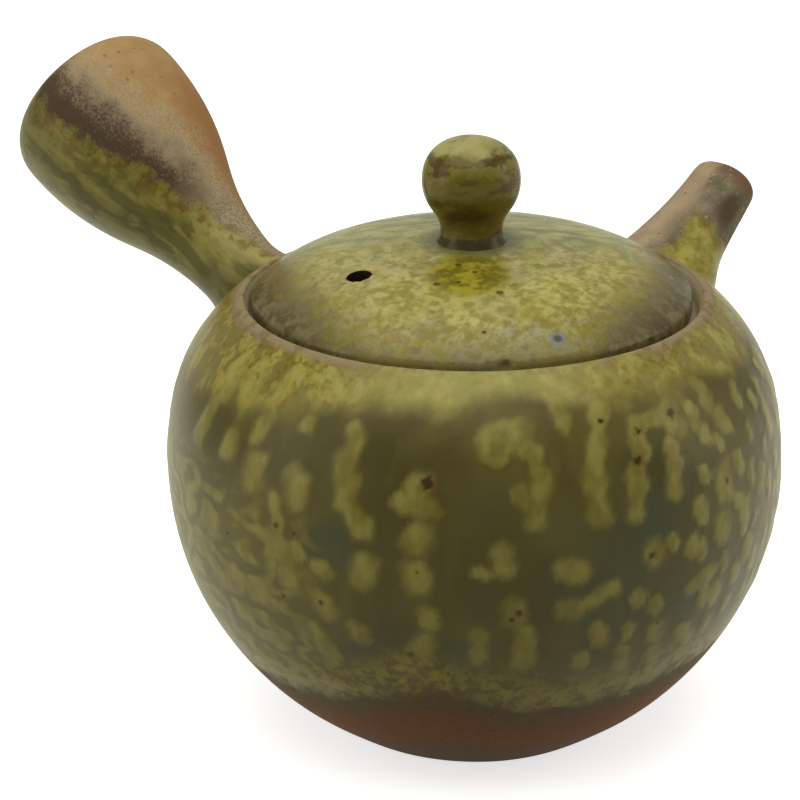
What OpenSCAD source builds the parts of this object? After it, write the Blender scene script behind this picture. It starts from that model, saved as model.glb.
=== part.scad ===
// Side-handled teapot (yokode kyusu), thrown in pieces and luted together before firing.
// Millimetres. The origin is the centre of the foot, +Z is up, the spout points along +X
// and the handle leaves the pot a quarter turn further round, towards +Y.

/* [Body] */
// Greatest width of the round belly
body_d = 96; // [86:1:112]
// Width of the flat foot
foot_d = 43; // [34:1:48]
// How far below the belly, in degrees, the wall turns straight towards the foot
foot_taper = 55; // [50:1:60]
// Radius of the shoulder, where the wall turns in towards the rim
shoulder_r = 28; // [24:1:34]
// How far above the belly, in degrees, the shoulder starts
shoulder_start = 10.5; // [5:0.5:15]
// Thickness of the thrown wall
wall = 3.5; // [2.6:0.1:4.2]
// Thickness of the floor over the foot
floor_t = 4.5; // [3:0.1:8]

/* [Rim and lid seat] */
// Width between the insides of the rim
rim_d = 69.6; // [66:0.2:72]
// Radius of the rounded lip of the rim
lip_r = 0.9; // [0.6:0.1:1.3]
// Depth of the lid seat below the top of the rim
seat_depth = 3.3; // [2.6:0.1:4]
// Thickness of the seat, a ledge that stands in from the wall
seat_t = 2.4; // [1.8:0.1:3]
// Width of the throat inside the seat
throat_d = 61; // [56:1:63]

/* [Spout] */
// Rise of the spout above level, in degrees
spout_pitch = 32; // [28:0.2:38]
// How far below the belly's centre the spout's axis crosses the pot's axis
spout_low = 13; // [8:0.2:16]
// Length of the spout outside the belly
spout_len = 24.8; // [18:0.5:36]
// Outside width of the spout's tip
spout_tip_d = 11.6; // [10:0.1:14]
// Thickness of the spout's wall
spout_wall = 1.9; // [1.5:0.1:2.4]
// Radius of the hollow curve from the tip to the root
spout_curve_r = 85; // [70:1:140]
// Width of the hole through the body's wall behind the spout
pour_hole_d = 11; // [8:0.2:12]

/* [Strainer] */
// Outside width of the pierced dome behind the spout
strainer_d = 16; // [15:0.2:17]
// Thickness of the dome
strainer_wall = 1.8; // [1.2:0.1:2]
// Width of each pierced hole
strainer_hole_d = 1.7; // [1.2:0.1:2]
// Distance between neighbouring holes of a ring
strainer_hole_pitch = 3.1; // [2.6:0.1:4]
// Rings of holes round the middle one
strainer_rings = 3; // [2:1:3]
// Angle between one ring of holes and the next, seen from the dome's centre
strainer_ring_step = 22; // [20:1:23]

/* [Handle] */
// Turn from the spout to the handle, seen from above, in degrees
handle_turn = 90; // [75:1:105]
// Rise of the handle above level, in degrees
handle_pitch = 33.6; // [26:0.5:38]
// How far below the belly's centre the handle's axis crosses the pot's axis
handle_low = 14.2; // [10:0.2:18]
// Length of the handle outside the belly
handle_len = 50.8; // [44:0.5:75]
// Distance from the belly to the handle's narrowest place
neck_rise = 5; // [3:0.5:8]
// Width of the handle's neck
neck_d = 13.6; // [11:0.2:16]
// Width of the handle's swelling end
handle_end_d = 31; // [26:0.2:36]
// Radius over which the end is turned in
handle_end_r = 6.4; // [5:0.1:8]
// Thickness of the handle's wall
handle_wall = 3; // [2.2:0.1:3.6]
// Radius of the hollow curve that flares the neck out to its root
root_r = 14; // [8:0.5:18]

/* [Lid] */
// Gap between the lid's edge and the rim, all round
lid_gap = 0.9; // [0.5:0.1:1.4]
// Gap that the lid keeps over its seat
seat_gap = 0.3; // [0.2:0.05:0.5]
// Height of the lid from its seat to the top of its dome
lid_h = 11.5; // [10:0.1:14]
// Radius of the flat crown of the dome
crown_r = 118; // [90:1:150]
// Width of the crown, where the dome turns down more steeply
crown_d = 42; // [34:0.2:46]
// Radius of the dome between the crown and the edge
lid_shoulder_r = 27; // [24:0.5:34]
// Radius of the lid's rounded edge
lid_edge_r = 1.8; // [1:0.1:2.2]
// Thickness of the dome
lid_t = 3.2; // [2.4:0.1:4]
// Gap between the locating flange and the throat, all round
flange_gap = 0.5; // [0.3:0.1:1]
// Thickness of the locating flange
flange_t = 3; // [2:0.1:4]
// Depth of the locating flange below the seat
flange_depth = 6; // [4:0.2:9]
// Width of the steam vent
vent_d = 3.8; // [2.6:0.1:5]
// Distance of the steam vent from the lid's middle
vent_at = 20.8; // [14:0.2:23]
// Turn of the steam vent from the spout, seen from above, in degrees
vent_turn = 166; // [0:1:359]

/* [Knob] */
// Greatest width of the knob
knob_d = 15.2; // [13:0.2:20]
// Width of the knob's neck
knob_neck_d = 9.5; // [7:0.1:11]
// Height of the knob's neck above the lid
knob_neck_h = 1.6; // [1:0.1:3]
// Height of the knob's widest place above the lid
knob_belly_h = 9.5; // [8:0.1:13]
// Height of the knob above the lid
knob_h = 16.2; // [14:0.1:21]
// Radius of the hollow curve at the knob's foot
knob_foot_r = 3.6; // [2:0.1:6]

/* [Hidden] */
$fn = 96;

// Degrees between points along an arc of an outline, and sides of a pierced hole
arc_step = 4;
hole_sides = 24;
// How far a piece runs into its neighbour before it is cut to seat on it
root_run = 8;
// How far a pierced hole's cut runs past both faces of the dome
hole_run = 0.6;
// Share of the first arc in the swelling curves of the handle and of the knob
handle_swell = 0.45;
knob_swell = 0.4;
// Fullness of the knob's top: 1 is an ellipse, less is fuller
knob_fullness = 0.88;
// Degrees of the hollow curve at the foot of the handle and of the knob
flare_turn = 60;

// Clay and glaze colours
olive_glaze = [0.44, 0.42, 0.21];
yellow_glaze = [0.55, 0.52, 0.27];
tan_clay = [0.60, 0.45, 0.31];
brown_clay = [0.45, 0.36, 0.27];

belly_r = body_d / 2;
foot_r = foot_d / 2;
rim_r = rim_d / 2;
throat_r = throat_d / 2;
// Height of the belly's centre above the foot: the wall is tangent to the belly at the taper
belly_h = belly_r * sin(foot_taper) + (belly_r * cos(foot_taper) - foot_r) / tan(foot_taper);

// Heights below are taken from the belly's centre until the outlines are raised onto the foot
shoulder_c = (belly_r - shoulder_r) * [cos(shoulder_start), sin(shoulder_start)];
lip_x = rim_r + lip_r;
lip_c = [lip_x, shoulder_c.y + sqrt(pow(shoulder_r - lip_r, 2) - pow(lip_x - shoulder_c.x, 2))];
lip_turn = atan2(lip_c.y - shoulder_c.y, lip_c.x - shoulder_c.x);
seat_z = lip_c.y + lip_r - seat_depth;
ledge_z = seat_z - seat_t;
ledge_turn = asin((ledge_z - shoulder_c.y) / (shoulder_r - wall));
floor_z = floor_t - belly_h;
floor_turn = asin(floor_z / (belly_r - wall));

// Distances along an axis that leaves the pot's axis below the belly's centre
function along_axis(radius, low, pitch) =
    low * sin(pitch) + sqrt(pow(radius, 2) - pow(low * cos(pitch), 2));
spout_root = along_axis(belly_r, spout_low, spout_pitch);
spout_hole = along_axis(belly_r - wall, spout_low, spout_pitch);
handle_root = along_axis(belly_r, handle_low, handle_pitch);

lid_z = seat_z + seat_gap;
lid_r = rim_r - lid_gap;
lid_top = lid_z + lid_h;
flange_r = throat_r - flange_gap;
crown_c = [0, lid_top - crown_r];
crown_turn = acos(crown_d / 2 / crown_r);
lid_shoulder_c = crown_c + (crown_r - lid_shoulder_r) * [cos(crown_turn), sin(crown_turn)];
lid_edge_x = lid_r - lid_edge_r;
lid_edge_c = [
    lid_edge_x,
    lid_shoulder_c.y
        + sqrt(pow(lid_shoulder_r - lid_edge_r, 2) - pow(lid_edge_x - lid_shoulder_c.x, 2))
];
lid_edge_turn = atan2(lid_edge_c.y - lid_shoulder_c.y, lid_edge_c.x - lid_shoulder_c.x);
lid_hollow_turn = acos((flange_r - flange_t - lid_shoulder_c.x) / (lid_shoulder_r - lid_t));

// Points of an arc from one angle to another
function arc(centre, radius, from, to) =
    let (n = max(2, ceil(abs(to - from) / arc_step)))
    [for (i = [0:n]) let (a = from + (to - from) * i / n) centre + radius * [cos(a), sin(a)]];

// An outline without its first point, to carry on from the one before it
function rest(points) = [for (i = [1:len(points) - 1]) points[i]];

function reversed(points) = [for (i = [len(points) - 1:-1:0]) points[i]];

// Two tangent arcs, as [radius, height], that leave both ends parallel to the axis
function swell(r0, z0, r1, z1, share) =
    let (rise = z1 - z0)
    let (total = (pow(rise, 2) + pow(r1 - r0, 2)) / (2 * (r1 - r0)))
    let (turn = asin(rise / total))
    concat(
        arc([r0 + share * total, z0], share * total, 180, 180 - turn),
        rest(arc([r1 - (1 - share) * total, z1], (1 - share) * total, -turn, 0)));

// A hollow curve that flares out below [r, z], where it is parallel to the axis
function flare(r, z, radius) = arc([r + radius, z], radius, 180 + flare_turn, 180);

// The outer line of the body, from the foot's middle up to the top of the lip
function body_outside() = concat(
    [[0, -belly_h], [foot_r, -belly_h]],
    arc([0, 0], belly_r, -foot_taper, shoulder_start),
    rest(arc(shoulder_c, shoulder_r, shoulder_start, lip_turn)),
    rest(arc(lip_c, lip_r, lip_turn, 90)));

// The inner line of the body below the seat
function hollow_line() = concat(
    arc(shoulder_c, shoulder_r - wall, ledge_turn, shoulder_start),
    rest(arc([0, 0], belly_r - wall, shoulder_start, floor_turn)),
    [[0, floor_z]]);

// The inner line of the body, from the lip past the seat and down to the floor's middle
function body_inside() = concat(
    rest(arc(lip_c, lip_r, 90, 180)),
    [[rim_r, seat_z], [throat_r, seat_z], [throat_r, ledge_z]],
    hollow_line());

module turned(points) {
    translate([0, 0, belly_h])
        rotate_extrude()
            polygon(points);
}

// The outer form of the body and the space above its mouth, used to cut what is luted onto it
module body_form() {
    turned(concat(body_outside(), [[lip_x, belly_r], [0, belly_r]]));
}

// The space inside the body below the seat
module body_hollow() {
    turned(concat(hollow_line(), [[0, ledge_z]]));
}

// Turns what stands on +Z into an axis that leaves the pot's axis at a pitch
module on_axis(turn, low, pitch) {
    translate([0, 0, belly_h - low])
        rotate([0, 90 - pitch, turn])
            children();
}

module body() {
    color(olive_glaze)
        difference() {
            turned(concat(body_outside(), body_inside()));
            on_axis(0, spout_low, spout_pitch)
                translate([0, 0, spout_hole - root_run])
                    cylinder(d = pour_hole_d, h = spout_root - spout_hole + 2 * root_run);
        }
}

// One side of the spout's wall, inset from the outside, from inside the body up to the tip
function spout_line(inset) =
    let (tip_r = spout_tip_d / 2 - inset)
    let (tip_z = spout_root + spout_len - spout_wall / 2)
    let (turn = asin((spout_len + root_run) / spout_curve_r))
    arc([tip_r + spout_curve_r, tip_z], spout_curve_r, 180 + turn, 180);

module spout() {
    lip = spout_wall / 2;
    tip_c = [spout_tip_d / 2 - lip, spout_root + spout_len - lip];
    color(brown_clay)
        difference() {
            on_axis(0, spout_low, spout_pitch)
                rotate_extrude()
                    polygon(concat(
                        spout_line(0),
                        rest(arc(tip_c, lip, 0, 180)),
                        rest(reversed(spout_line(spout_wall)))));
            body_form();
        }
}

// One side of the dome's wall, flat between one ring of holes and the next, with a straight skirt
function dome_line(radius) = concat(
    [for (ring = [0:strainer_rings])
        let (a = (ring + 0.5) * strainer_ring_step)
        radius * [sin(a), -cos(a)]],
    [[radius, 0], [radius, root_run]]);

// Holes in rings round the middle one, each one square to the dome
module ring_holes() {
    outer_r = strainer_d / 2;
    for (ring = [1:strainer_rings]) {
        tilt = ring * strainer_ring_step;
        count = floor(2 * PI * outer_r * sin(tilt) / strainer_hole_pitch);
        for (i = [0:count - 1])
            rotate([180 - tilt, 0, i * 360 / count])
                translate([0, 0, outer_r - strainer_wall - hole_run])
                    cylinder(d = strainer_hole_d, h = strainer_wall + 2 * hole_run, $fn = hole_sides);
    }
}

module strainer() {
    outside = dome_line(strainer_d / 2);
    inside = dome_line(strainer_d / 2 - strainer_wall);
    hole_r = strainer_hole_d / 2;
    color(tan_clay)
        difference() {
            intersection() {
                body_hollow();
                on_axis(0, spout_low, spout_pitch)
                    translate([0, 0, spout_hole])
                        rotate_extrude()
                            polygon(concat(
                                [[hole_r, outside[0].y]],
                                outside,
                                reversed(inside),
                                [[hole_r, inside[0].y]]));
            }
            on_axis(0, spout_low, spout_pitch)
                translate([0, 0, spout_hole])
                    ring_holes();
        }
}

module handle() {
    neck_r = neck_d / 2;
    end_r = handle_end_d / 2;
    neck_z = handle_root + neck_rise;
    end_c = [end_r - handle_end_r, handle_root + handle_len - handle_end_r];
    lip = handle_wall / 2;
    lip_z = handle_root + handle_len - lip;
    root_z = handle_root - root_run;
    outside = swell(neck_r, neck_z, end_r, end_c.y, handle_swell);
    inside = swell(neck_r - handle_wall, neck_z, end_r - handle_wall, end_c.y, handle_swell);
    root_flare = flare(neck_r, neck_z, root_r);
    color(tan_clay)
        difference() {
            on_axis(handle_turn, handle_low, handle_pitch)
                rotate_extrude()
                    polygon(concat(
                        [[neck_r - handle_wall, root_z], [root_flare[0].x, root_z]],
                        root_flare,
                        rest(outside),
                        rest(arc(end_c, handle_end_r, 0, 90)),
                        rest(arc([end_c.x, lip_z], lip, 90, 270)),
                        rest(arc(end_c, handle_end_r - handle_wall, 90, 0)),
                        rest(reversed(inside))));
            body_form();
        }
}

// The outer line of the lid, from its edge at the seat up to the top of the dome
function lid_outside() = concat(
    [[lid_r, lid_z]],
    arc(lid_edge_c, lid_edge_r, 0, lid_edge_turn),
    rest(arc(lid_shoulder_c, lid_shoulder_r, lid_edge_turn, crown_turn)),
    rest(arc(crown_c, crown_r, crown_turn, 90)));

// The inner line of the lid, from the top of its hollow down to the flange's outside
function lid_inside() = concat(
    arc(crown_c, crown_r - lid_t, 90, crown_turn),
    rest(arc(lid_shoulder_c, lid_shoulder_r - lid_t, crown_turn, lid_hollow_turn)),
    [
        [flange_r - flange_t, lid_z - flange_depth],
        [flange_r, lid_z - flange_depth],
        [flange_r, lid_z]
    ]);

module lid() {
    color(yellow_glaze)
        difference() {
            turned(concat(lid_outside(), lid_inside()));
            rotate([0, 0, vent_turn])
                translate([vent_at, 0, belly_h + lid_z])
                    cylinder(d = vent_d, h = lid_h, $fn = hole_sides);
        }
}

// The top of the knob above its widest place, fuller than an ellipse
function knob_top() =
    let (rise = knob_h - knob_belly_h)
    let (belly_z = lid_top + knob_belly_h)
    [for (a = [0:2 * arc_step:90])
        [knob_d / 2 * pow(cos(a), knob_fullness), belly_z + rise * pow(sin(a), knob_fullness)]];

module knob() {
    neck_r = knob_neck_d / 2;
    neck_z = lid_top + knob_neck_h;
    belly_z = lid_top + knob_belly_h;
    foot = flare(neck_r, neck_z, knob_foot_r);
    color(olive_glaze)
        difference() {
            turned(concat(
                [[0, foot[0].y], foot[0]],
                rest(foot),
                rest(swell(neck_r, neck_z, knob_d / 2, belly_z, knob_swell)),
                rest(knob_top()),
                [[0, lid_top + knob_h]]));
            turned(concat(lid_outside(), [[0, lid_z]]));
        }
}

body();
spout();
strainer();
handle();
lid();
knob();
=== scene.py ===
# %% [markdown]
# # A side-handled teapot in ash glaze
# The pot is thrown in pieces on the wheel, luted together and fired once. This lesson dresses the packed
# model with pieces that have the softness of thrown clay, and with a runny ash glaze.

# %% Load the packed teapot
from math import atan2, cos, pi, radians, sin, sqrt

import bpy
import numpy as np
from mathutils import Matrix, Vector
from mathutils.bvhtree import BVHTree


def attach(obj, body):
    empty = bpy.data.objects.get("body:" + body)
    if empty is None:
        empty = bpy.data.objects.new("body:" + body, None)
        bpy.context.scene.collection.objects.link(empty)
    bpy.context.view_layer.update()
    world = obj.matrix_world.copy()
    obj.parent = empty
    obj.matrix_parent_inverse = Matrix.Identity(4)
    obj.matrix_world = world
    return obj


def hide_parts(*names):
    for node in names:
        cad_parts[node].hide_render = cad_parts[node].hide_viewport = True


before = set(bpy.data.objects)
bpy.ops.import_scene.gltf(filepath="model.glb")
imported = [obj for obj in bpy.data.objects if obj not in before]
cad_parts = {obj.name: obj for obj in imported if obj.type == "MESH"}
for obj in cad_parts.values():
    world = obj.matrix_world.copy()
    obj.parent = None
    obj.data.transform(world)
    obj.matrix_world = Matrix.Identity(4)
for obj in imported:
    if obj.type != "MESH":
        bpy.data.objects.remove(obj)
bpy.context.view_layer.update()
MM = 0.001
print("nodes", sorted(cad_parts))

# %% [markdown]
# ## The sizes that the pieces share
# A potter checks the lid against the gallery with callipers. Here the same sizes, in millimetres, are
# written once, so that the thrown lines below meet where the packed nodes meet. They could be measured on
# the packed mesh instead, but written sizes are easier to follow.

# %% Sizes in millimetres
BELLY_R = 48.0
BELLY_H = 43.543
SHOULDER_R = 28.0
SHOULDER_START = 10.5
WALL = 3.5
LIP_R = 0.9
RIM_R = 34.8
THROAT_R = 30.5
SEAT_DEPTH = 3.3
LID_CLEAR = 0.3
LID_RISE = 11.5
OFF_AXIS = BELLY_R - SHOULDER_R
SHOULDER = (OFF_AXIS * cos(radians(SHOULDER_START)), BELLY_H + OFF_AXIS * sin(radians(SHOULDER_START)))
LIP = (RIM_R + LIP_R, SHOULDER[1] + sqrt((SHOULDER_R - LIP_R) ** 2 - (RIM_R + LIP_R - SHOULDER[0]) ** 2))
SEAT_H = LIP[1] + LIP_R - SEAT_DEPTH
LID_H = SEAT_H + LID_CLEAR
LID_TOP = LID_H + LID_RISE
print("rim at", round(LIP[1] + LIP_R, 2), "lid top at", round(LID_TOP, 2))

# %% [markdown]
# ## The camera
# A long lens half a metre away looks down on the pot by a little over twenty degrees, between the handle
# and the spout. The pot stands low and to the right in the frame. Lens shift could move it there, but a
# camera on a tripod is turned, so this one is aimed at the belly and then turned a little to the left and up.

# %% Camera
FRAME_PX = 800
LENS_PX = 3057
LEFT_PX, UP_PX = 73.6, 51.6
SENSOR = 36
CAMERA_AWAY = 0.48
belly = Vector((0, 0, BELLY_H * MM))
turn, rise = radians(-50), radians(21.5)
back = Vector((sin(turn) * cos(rise), -cos(turn) * cos(rise), sin(rise)))
bpy.ops.object.select_all(action="DESELECT")
bpy.ops.object.camera_add(location=belly + back * CAMERA_AWAY)
camera = bpy.context.object
camera.name = "studio_camera"
camera.data.sensor_width = SENSOR
camera.data.lens = SENSOR * LENS_PX / FRAME_PX
camera.data.clip_start = 0.01
aim = (-back).to_track_quat("-Z", "Y").to_matrix()
swing = Matrix.Rotation(atan2(LEFT_PX, LENS_PX), 3, "Y") @ Matrix.Rotation(atan2(UP_PX, LENS_PX), 3, "X")
camera.rotation_euler = (aim @ swing).to_euler()
bpy.context.scene.camera = camera
print("lens", round(camera.data.lens, 1), "mm")

# %% [markdown]
# ## Floor and light
# Pots are photographed in a white tent: a broad soft light from above, and pale walls that show as soft
# streaks along the sides of the glaze. An even white world would leave the glaze flat, so three large area
# lamps do most of the work. The floor and the sky are white to the camera, but give back less light than
# that, so the underside of the pot stays in shade.

# %% A helper that tells rays apart
RAYS = ("Is Glossy Ray", "Is Camera Ray")


def by_ray(tree, otherwise, mirrored, seen_as):
    """A colour that differs for light on its way, for reflections and for the camera."""
    path = tree.nodes.new("ShaderNodeLightPath")
    below = None
    for ray, over in zip(RAYS, (mirrored, seen_as)):
        mix = tree.nodes.new("ShaderNodeMix")
        mix.data_type = "RGBA"
        tree.links.new(path.outputs[ray], mix.inputs["Factor"])
        mix.inputs["A"].default_value = (*otherwise, 1)
        mix.inputs["B"].default_value = (*over, 1)
        if below:
            tree.links.new(below, mix.inputs["A"])
        below = mix.outputs["Result"]
    return below


print("rays told apart from the rest:", RAYS)

# %% Floor
bpy.ops.object.select_all(action="DESELECT")
bpy.ops.mesh.primitive_plane_add(size=6, location=(0, 0, 0))
floor = bpy.context.object
floor.name = "studio_floor"
floor_paint = bpy.data.materials.new("studio_floor")
floor_paint.use_nodes = True
paint_tree = floor_paint.node_tree
paint = paint_tree.nodes["Principled BSDF"]
floor_colour = by_ray(
    paint_tree, otherwise=(0.16, 0.155, 0.15), mirrored=(0.9, 0.88, 0.76), seen_as=(0.97, 0.97, 0.97))
floor_glow = by_ray(
    paint_tree, otherwise=(0, 0, 0), mirrored=(0.42, 0.41, 0.34), seen_as=(0.68, 0.68, 0.68))
paint_tree.links.new(floor_colour, paint.inputs["Base Color"])
paint_tree.links.new(floor_glow, paint.inputs["Emission Color"])
paint.inputs["Emission Strength"].default_value = 1.0
paint.inputs["Roughness"].default_value = 0.9
paint.inputs["Specular IOR Level"].default_value = 0.0
floor.data.materials.append(floor_paint)
print("floor of", round(floor.dimensions.x, 1), "m, painted with", len(paint_tree.nodes), "nodes")

# %% World
world = bpy.data.worlds.new("studio_tent")
bpy.context.scene.world = world
world.use_nodes = True
sky = world.node_tree.nodes["Background"]
sky_colour = by_ray(
    world.node_tree, otherwise=(0.30, 0.30, 0.29), mirrored=(0.475, 0.465, 0.40), seen_as=(1, 1, 1))
world.node_tree.links.new(sky_colour, sky.inputs["Color"])
sky.inputs["Strength"].default_value = 1.0
bpy.context.scene.view_settings.view_transform = "Standard"
print("the sky has", len(world.node_tree.nodes), "nodes")


# %% Lamps
WARM_WHITE = (1.0, 0.97, 0.87)


def softbox(name, place, size, power):
    """An area lamp that looks at the belly."""
    bpy.ops.object.light_add(type="AREA", location=place)
    lamp = bpy.context.object
    lamp.name = name
    lamp.data.shape = "RECTANGLE"
    lamp.data.size, lamp.data.size_y = size
    lamp.data.energy = power
    lamp.data.color = WARM_WHITE
    lamp.rotation_euler = (belly - lamp.location).to_track_quat("-Z", "Y").to_euler()
    return lamp


softbox("tent_top", (-0.10, -0.05, 0.75), (0.9, 0.9), 4.2)
softbox("tent_left", (-0.55, 0.35, 0.28), (0.3, 0.6), 1.0)
softbox("tent_right", (0.45, -0.55, 0.28), (0.3, 0.6), 1.0)

# %% [markdown]
# ## Throwing on a wheel
# Every piece of the pot is turned, so every piece is drawn as one line and spun. A plane is merged to a
# single vertex, the vertex is extruded along the line from point to point, and Spin turns it once round.
# The Screw modifier could turn the line too, but Spin leaves a plain mesh that can be cut and luted.

# %% Wheel helpers
def bow(centre, radius, start, end, count):
    """Points of an arc of a thrown line, angles in degrees."""
    angles = [radians(start + (end - start) * i / count) for i in range(count + 1)]
    return [(centre[0] + radius * cos(a), centre[1] + radius * sin(a)) for a in angles]


def throw(name, line, sides):
    """Extrudes a vertex along a line of (radius, height) in millimetres and spins it round Z."""
    bpy.ops.object.select_all(action="DESELECT")
    bpy.ops.mesh.primitive_plane_add(size=MM, location=(line[0][0] * MM, 0, line[0][1] * MM))
    piece = bpy.context.object
    piece.name = piece.data.name = name
    bpy.ops.object.transform_apply(location=True, rotation=True, scale=True)
    bpy.ops.object.mode_set(mode="EDIT")
    bpy.ops.mesh.select_mode(type="VERT")
    bpy.ops.mesh.select_all(action="SELECT")
    bpy.ops.mesh.merge(type="CENTER")
    for (r0, h0), (r1, h1) in zip(line, line[1:]):
        step = ((r1 - r0) * MM, 0, (h1 - h0) * MM)
        bpy.ops.mesh.extrude_vertices_move(TRANSFORM_OT_translate={"value": step})
    bpy.ops.mesh.select_all(action="SELECT")
    bpy.ops.mesh.spin(steps=sides, angle=2 * pi, center=(0, 0, 0), axis=(0, 0, 1))
    bpy.ops.mesh.select_all(action="SELECT")
    bpy.ops.mesh.remove_doubles(threshold=0.01 * MM)
    bpy.ops.mesh.normals_make_consistent(inside=False)
    bpy.ops.object.mode_set(mode="OBJECT")
    return piece


print("a quarter bow of 10 mm ends at", [round(v, 3) for v in bow((0, 0), 10, 0, 90, 4)[-1]])

# %% [markdown]
# ## The softness of clay
# Wet clay has no hard edges, and the hand leaves it a little uneven. A Subdivision Surface rounds each thrown
# piece, and a Displace modifier with a cloud texture moves it by a few tenths of a millimetre. Sculpting could
# do that by hand, but modifiers treat every piece alike. They are applied at once, so that a hole can be cut.

# %% Softening helpers
def pick(piece):
    """Selects one piece alone and makes it the active one."""
    bpy.ops.object.select_all(action="DESELECT")
    piece.select_set(True)
    bpy.context.view_layer.objects.active = piece


def apply(piece, kind, **settings):
    """Adds a modifier, sets it up and applies it."""
    pick(piece)
    modifier = piece.modifiers.new(kind.lower(), kind)
    for key, value in settings.items():
        setattr(modifier, key, value)
    bpy.ops.object.modifier_apply(modifier=modifier.name)


def soften(piece, levels=2, uneven=0.3):
    """Rounds a thrown piece and gives it a hand's unevenness, in millimetres."""
    apply(piece, "SUBSURF", levels=levels, render_levels=levels)
    apply(piece, "DISPLACE", texture=hand, texture_coords="LOCAL", strength=uneven * MM, mid_level=0.5)
    bpy.ops.object.shade_smooth()


hand = bpy.data.textures.new("hand", "CLOUDS")
hand.noise_scale = 0.03
hand.noise_depth = 1
print("the hand's unevenness is about", round(hand.noise_scale / MM), "mm wide")

# %% [markdown]
# ## The body
# The body is one thrown wall: a flat foot with a short straight flank, a round belly, a shoulder that turns
# in to the lip, and inside the lip a gallery that slopes down to the ledge for the lid. A squashed sphere
# with a thickness would be quicker, but only a drawn line has the foot, the lip and the ledge in it. The line
# runs from the middle of the foot round the outside, over the lip and down to the middle of the floor inside.

# %% Body line and form
foot = [(0, 0), (12, 0), (20.4, 0)]
wall = [(21.2, 0.12), (21.75, 0.35), (23.4, 1.33)]
wall += bow((0, BELLY_H), BELLY_R, -55, SHOULDER_START, 17)
wall += bow(SHOULDER, SHOULDER_R, SHOULDER_START, 53.5, 11)[1:]
lip = bow(LIP, LIP_R, 60, 112, 2) + [(RIM_R + 0.35, SEAT_H + 2.75), (RIM_R, SEAT_H + 1.9)]
ledge = [
    (RIM_R - 0.22, SEAT_H + 1.1), (RIM_R - 0.5, SEAT_H + 0.45), (RIM_R - 1.1, SEAT_H + 0.05),
    (THROAT_R + 0.5, SEAT_H), (THROAT_R, SEAT_H - 0.4),
    (THROAT_R, SEAT_H - 2.0), (THROAT_R + 0.4, SEAT_H - 2.4),
]
inside = bow(SHOULDER, SHOULDER_R - WALL, 42, SHOULDER_START, 4)
inside += bow((0, BELLY_H), BELLY_R - WALL, 4, -58, 7) + [(14, 4.5), (0, 4.5)]
body = throw("thrown_body", foot + wall + lip + ledge + inside, sides=96)
soften(body)
print("body", len(body.data.polygons), "faces")

# %% [markdown]
# ## The pour hole
# Behind the spout the wall is cut through with a round cutter. Faces could be deleted and their edge
# rounded by hand, but a Boolean cuts both skins of the wall at once. It cuts along the spout's own axis, so
# that the hole lines up with the bore.

# %% Axes of the spout and the handle, and the hole
def axis_frame(low, pitch, turned):
    """The matrix that lays a piece thrown on Z along its axis out of the pot."""
    lean = Matrix.Rotation(radians(turned), 4, "Z") @ Matrix.Rotation(radians(90 - pitch), 4, "Y")
    return Matrix.Translation((0, 0, (BELLY_H - low) * MM)) @ lean


def pierce(piece, middle, radius, depth, sides, lay=Matrix()):
    """Cuts a round hole. The cutter stands on Z round its middle, in millimetres, before lay turns it."""
    bpy.ops.object.select_all(action="DESELECT")
    place = Vector(middle) * MM
    bpy.ops.mesh.primitive_cylinder_add(vertices=sides, radius=radius * MM, depth=depth * MM, location=place)
    cutter = bpy.context.object
    bpy.ops.object.transform_apply(location=True, rotation=True, scale=True)
    cutter.data.transform(lay)
    apply(piece, "BOOLEAN", operation="DIFFERENCE", object=cutter, solver="EXACT")
    bpy.data.objects.remove(cutter)


spout_frame = axis_frame(low=13.0, pitch=32.0, turned=0)
handle_frame = axis_frame(low=14.2, pitch=33.6, turned=90)
pierce(body, middle=(0, 0, 51.8), radius=5.5, depth=14, sides=48, lay=spout_frame)
print("body with its pour hole", len(body.data.polygons), "faces")

# %% [markdown]
# ## Luting a piece to the wall
# The spout and the handle are thrown straight, cut to the curve of the wall and pressed on with slip. The
# thrown piece has an open root. Each point of its lower rings slides along the piece's own axis, by as
# much as the root ring under it has to move to touch the wall, and the move fades out up the piece. The
# two root rings are then bridged. A Boolean with the wall would cut the same curve, but it leaves a ragged
# mesh there that doesn't round off well.

# %% Luting helper
RAY_FROM = 25


def ease(value, low, high):
    """0 at low, 1 at high, smooth between them."""
    share = np.clip((value - low) / (high - low), 0, 1)
    return share * share * (3 - 2 * share)


def lute(piece, place, rings, fade):
    """Seats the open root of a piece on the body. rings: radius, height and sinking of the two root rings."""
    skin = BVHTree.FromObject(body, bpy.context.evaluated_depsgraph_get())
    down = (place.to_3x3() @ Vector((0, 0, -1))).normalized()
    for vertex in piece.data.vertices:
        radius = Vector(vertex.co.xy).length
        ring_r, ring_h, sink = min(rings, key=lambda ring: abs(ring[0] * MM - radius))
        high = vertex.co.z / MM - ring_h
        if high > fade:
            continue
        spot = vertex.co.xy.normalized() * ring_r * MM
        start = place @ Vector((spot.x, spot.y, (ring_h + RAY_FROM) * MM))
        hit = skin.ray_cast(start, down)[0]
        vertex.co.z += float(ease(high, fade, 0)) * ((place.inverted() @ hit).z - (ring_h + sink) * MM)
    pick(piece)
    bpy.ops.object.mode_set(mode="EDIT")
    bpy.ops.mesh.select_mode(type="EDGE")
    bpy.ops.mesh.select_all(action="DESELECT")
    bpy.ops.mesh.select_non_manifold()
    bpy.ops.mesh.bridge_edge_loops()
    bpy.ops.mesh.select_all(action="SELECT")
    bpy.ops.mesh.normals_make_consistent(inside=False)
    bpy.ops.object.mode_set(mode="OBJECT")
    piece.data.transform(place)


print("halfway up, a luted piece moves by", float(ease(0.5, 1, 0)), "of its root's move")

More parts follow.
